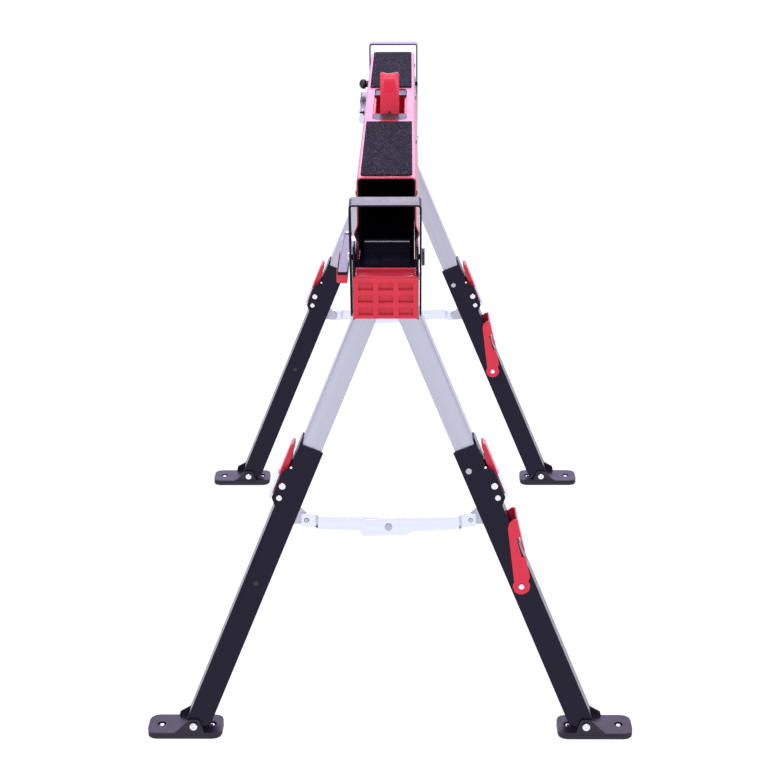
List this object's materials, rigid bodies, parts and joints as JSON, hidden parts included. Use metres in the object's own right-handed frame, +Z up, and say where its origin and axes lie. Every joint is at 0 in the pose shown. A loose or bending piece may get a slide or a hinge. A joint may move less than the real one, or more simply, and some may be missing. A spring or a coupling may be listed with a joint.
{
  "type": "folding sawhorse",
  "caption": "Folding sawhorse: sheet-steel beam with grip pads, end bails and fold-out arms on telescopic legs with tilting feet.",
  "frame": {"origin": "on the floor, under the middle of the beam", "axes": "+Z up; +Y along the beam towards the rear end; +X to the right, seen from the front end"},
  "size_m": [0.6872, 1.1445, 0.8687],
  "materials": {
    "red_paint": "glossy red powder coat",
    "red_plastic": "red moulded plastic, satin gloss",
    "black_steel": "black powder coat on sheet steel",
    "grey_steel": "dark grey coated sheet steel",
    "silver_steel": "zinc-plated steel",
    "aluminium": "satin anodised tube",
    "grip": "dark grit grip pad",
    "black_plastic": "black moulded plastic",
    "rubber": "black rubber sole"
  },
  "bodies": {
    "root": {"beam_channel": "red_paint", "grip_pad_front": "grip", "grip_pad_rear": "grip", "well_plate_front": "grey_steel", "well_plate_rear": "grey_steel", "lever_housing": "red_paint", "lever_pin": "silver_steel", "stiffener_front": "black_steel", "stiffener_rear": "black_steel", "end_bracket_front": "black_steel", "end_bracket_rear": "black_steel", "end_bumper_front": "red_plastic", "end_bumper_rear": "red_plastic", "carrier_bolt_front": "silver_steel", "carrier_bolt_rear": "silver_steel", "bail_nut_front": "silver_steel", "bail_nut_rear": "silver_steel", "arm_hinge_front": "silver_steel", "arm_hinge_rear": "silver_steel"},
    "lever": {"lock_lever": "red_paint"},
    "knob": {"lock_knob": "black_plastic"},
    "thumb_nut": {"thumb_nut": "black_plastic"},
    "bail_front": {"bail_front": "black_steel"},
    "arm_front": {"support_arm_front": "black_steel", "arm_tip_front": "red_plastic"},
    "carrier_front": {"leg_carrier_front": "black_steel"},
    "upper_front_left": {"upper_leg_front_left": "aluminium"},
    "lower_front_left": {"lower_leg_front_left": "black_steel"},
    "latch_front_left": {"latch_lever_front_left": "red_plastic", "latch_keeper_front_left": "silver_steel"},
    "foot_front_left": {"foot_plate_front_left": "black_steel", "foot_pad_front_left": "rubber"},
    "spreader_front_left": {"spreader_bar_front_left": "silver_steel"},
    "upper_front_right": {"upper_leg_front_right": "aluminium"},
    "lower_front_right": {"lower_leg_front_right": "black_steel"},
    "latch_front_right": {"latch_lever_front_right": "red_plastic", "latch_keeper_front_right": "silver_steel"},
    "foot_front_right": {"foot_plate_front_right": "black_steel", "foot_pad_front_right": "rubber"},
    "spreader_front_right": {"spreader_bar_front_right": "silver_steel"},
    "hook_front": {"cable_hook_front": "red_plastic"},
    "bail_rear": {"bail_rear": "black_steel"},
    "arm_rear": {"support_arm_rear": "black_steel", "arm_tip_rear": "red_plastic"},
    "carrier_rear": {"leg_carrier_rear": "black_steel"},
    "upper_rear_left": {"upper_leg_rear_left": "aluminium"},
    "lower_rear_left": {"lower_leg_rear_left": "black_steel"},
    "latch_rear_left": {"latch_lever_rear_left": "red_plastic", "latch_keeper_rear_left": "silver_steel"},
    "foot_rear_left": {"foot_plate_rear_left": "black_steel", "foot_pad_rear_left": "rubber"},
    "spreader_rear_left": {"spreader_bar_rear_left": "silver_steel"},
    "upper_rear_right": {"upper_leg_rear_right": "aluminium"},
    "lower_rear_right": {"lower_leg_rear_right": "black_steel"},
    "latch_rear_right": {"latch_lever_rear_right": "red_plastic", "latch_keeper_rear_right": "silver_steel"},
    "foot_rear_right": {"foot_plate_rear_right": "black_steel", "foot_pad_rear_right": "rubber"},
    "spreader_rear_right": {"spreader_bar_rear_right": "silver_steel"},
    "hook_rear": {"cable_hook_rear": "red_plastic"}
  },
  "joints": [
    {"name": "lever_fold", "type": "hinge", "parent": "root", "child": "lever", "pos_m": [0, -0.052, 0.795], "axis": [-1, 0, 0], "range_deg": [0, 90]},
    {"name": "knob_turn", "type": "hinge", "parent": "root", "child": "knob", "pos_m": [0, 0.553, 0.736], "axis": [-1, 0, 0], "continuous": true},
    {"name": "thumb_nut_turn", "type": "hinge", "parent": "root", "child": "thumb_nut", "pos_m": [0, -0.553, 0.736], "axis": [1, 0, 0], "continuous": true},
    {"name": "bail_front_tilt", "type": "hinge", "parent": "root", "child": "bail_front", "pos_m": [0, -0.553, 0.736], "axis": [1, 0, 0], "range_deg": [0, 90]},
    {"name": "arm_front_swing", "type": "hinge", "parent": "root", "child": "arm_front", "pos_m": [-0.052, -0.3905, 0.72], "axis": [0, 0, -1], "range_deg": [0, 90]},
    {"name": "legs_front_fold", "type": "hinge", "parent": "root", "child": "carrier_front", "pos_m": [0, -0.405, 0.668], "axis": [1, 0, 0], "range_deg": [0, 88]},
    {"name": "swing_front_left", "type": "hinge", "parent": "carrier_front", "child": "upper_front_left", "pos_m": [-0.0185, -0.40637, 0.64003], "axis": [0, -0.9988, 0.0489], "range_deg": [0, 16.5]},
    {"name": "telescope_front_left", "type": "slide", "parent": "upper_front_left", "child": "lower_front_left", "axis": [0.377, 0.0452, 0.9251], "range_m": [0, 0.15]},
    {"name": "latch_turn_front_left", "type": "hinge", "parent": "lower_front_left", "child": "latch_front_left", "pos_m": [-0.15399, -0.41997, 0.3619], "axis": [0, -0.9988, 0.0489], "range_deg": [0, 50]},
    {"name": "foot_turn_front_left", "type": "hinge", "parent": "lower_front_left", "child": "foot_front_left", "pos_m": [-0.2766, -0.43669, 0.02], "axis": [0, -0.9988, 0.0489], "range_deg": [-20, 20]},
    {"name": "spreader_turn_front_left", "type": "hinge", "parent": "upper_front_left", "child": "spreader_front_left", "pos_m": [-0.11119, -0.42151, 0.33048], "axis": [0, -0.9988, 0.0489], "range_deg": [0, 66]},
    {"name": "swing_front_right", "type": "hinge", "parent": "carrier_front", "child": "upper_front_right", "pos_m": [0.0185, -0.40637, 0.64003], "axis": [0, 0.9988, -0.0489], "range_deg": [0, 16.5]},
    {"name": "telescope_front_right", "type": "slide", "parent": "upper_front_right", "child": "lower_front_right", "axis": [-0.377, 0.0452, 0.9251], "range_m": [0, 0.15]},
    {"name": "latch_turn_front_right", "type": "hinge", "parent": "lower_front_right", "child": "latch_front_right", "pos_m": [0.15399, -0.41997, 0.3619], "axis": [0, 0.9988, -0.0489], "range_deg": [0, 50]},
    {"name": "foot_turn_front_right", "type": "hinge", "parent": "lower_front_right", "child": "foot_front_right", "pos_m": [0.2766, -0.43669, 0.02], "axis": [0, 0.9988, -0.0489], "range_deg": [-20, 20]},
    {"name": "spreader_turn_front_right", "type": "hinge", "parent": "upper_front_right", "child": "spreader_front_right", "pos_m": [0.11119, -0.42151, 0.33048], "axis": [0, 0.9988, -0.0489], "range_deg": [0, 66]},
    {"name": "hook_turn_front", "type": "hinge", "parent": "lower_front_right", "child": "hook_front", "pos_m": [0.18141, -0.42618, 0.23501], "axis": [0, 0.9988, -0.0489], "range_deg": [0, 110]},
    {"name": "bail_rear_tilt", "type": "hinge", "parent": "root", "child": "bail_rear", "pos_m": [0, 0.553, 0.736], "axis": [-1, 0, 0], "range_deg": [0, 90]},
    {"name": "arm_rear_swing", "type": "hinge", "parent": "root", "child": "arm_rear", "pos_m": [-0.052, 0.3905, 0.72], "axis": [0, 0, 1], "range_deg": [0, 90]},
    {"name": "legs_rear_fold", "type": "hinge", "parent": "root", "child": "carrier_rear", "pos_m": [0, 0.405, 0.668], "axis": [-1, 0, 0], "range_deg": [0, 66]},
    {"name": "swing_rear_left", "type": "hinge", "parent": "carrier_rear", "child": "upper_rear_left", "pos_m": [-0.0185, 0.40637, 0.64003], "axis": [0, -0.9988, -0.0489], "range_deg": [0, 16.5]},
    {"name": "telescope_rear_left", "type": "slide", "parent": "upper_rear_left", "child": "lower_rear_left", "axis": [0.377, -0.0452, 0.9251], "range_m": [0, 0.15]},
    {"name": "latch_turn_rear_left", "type": "hinge", "parent": "lower_rear_left", "child": "latch_rear_left", "pos_m": [-0.15399, 0.41997, 0.3619], "axis": [0, -0.9988, -0.0489], "range_deg": [0, 50]},
    {"name": "foot_turn_rear_left", "type": "hinge", "parent": "lower_rear_left", "child": "foot_rear_left", "pos_m": [-0.2766, 0.43669, 0.02], "axis": [0, -0.9988, -0.0489], "range_deg": [-20, 20]},
    {"name": "spreader_turn_rear_left", "type": "hinge", "parent": "upper_rear_left", "child": "spreader_rear_left", "pos_m": [-0.11119, 0.42151, 0.33048], "axis": [0, -0.9988, -0.0489], "range_deg": [0, 66]},
    {"name": "swing_rear_right", "type": "hinge", "parent": "carrier_rear", "child": "upper_rear_right", "pos_m": [0.0185, 0.40637, 0.64003], "axis": [0, 0.9988, 0.0489], "range_deg": [0, 16.5]},
    {"name": "telescope_rear_right", "type": "slide", "parent": "upper_rear_right", "child": "lower_rear_right", "axis": [-0.377, -0.0452, 0.9251], "range_m": [0, 0.15]},
    {"name": "latch_turn_rear_right", "type": "hinge", "parent": "lower_rear_right", "child": "latch_rear_right", "pos_m": [0.15399, 0.41997, 0.3619], "axis": [0, 0.9988, 0.0489], "range_deg": [0, 50]},
    {"name": "foot_turn_rear_right", "type": "hinge", "parent": "lower_rear_right", "child": "foot_rear_right", "pos_m": [0.2766, 0.43669, 0.02], "axis": [0, 0.9988, 0.0489], "range_deg": [-20, 20]},
    {"name": "spreader_turn_rear_right", "type": "hinge", "parent": "upper_rear_right", "child": "spreader_rear_right", "pos_m": [0.11119, 0.42151, 0.33048], "axis": [0, 0.9988, 0.0489], "range_deg": [0, 66]},
    {"name": "hook_turn_rear", "type": "hinge", "parent": "lower_rear_right", "child": "hook_rear", "pos_m": [0.18141, 0.42618, 0.23501], "axis": [0, 0.9988, 0.0489], "range_deg": [0, 110]}
  ],
  "couplings": [
    {"joint": "swing_front_right", "follows": "swing_front_left", "ratio": 1},
    {"joint": "spreader_turn_front_left", "follows": "swing_front_left", "ratio": 4},
    {"joint": "spreader_turn_front_right", "follows": "swing_front_left", "ratio": 4},
    {"joint": "swing_rear_right", "follows": "swing_rear_left", "ratio": 1},
    {"joint": "spreader_turn_rear_left", "follows": "swing_rear_left", "ratio": 4},
    {"joint": "spreader_turn_rear_right", "follows": "swing_rear_left", "ratio": 4}
  ]
}
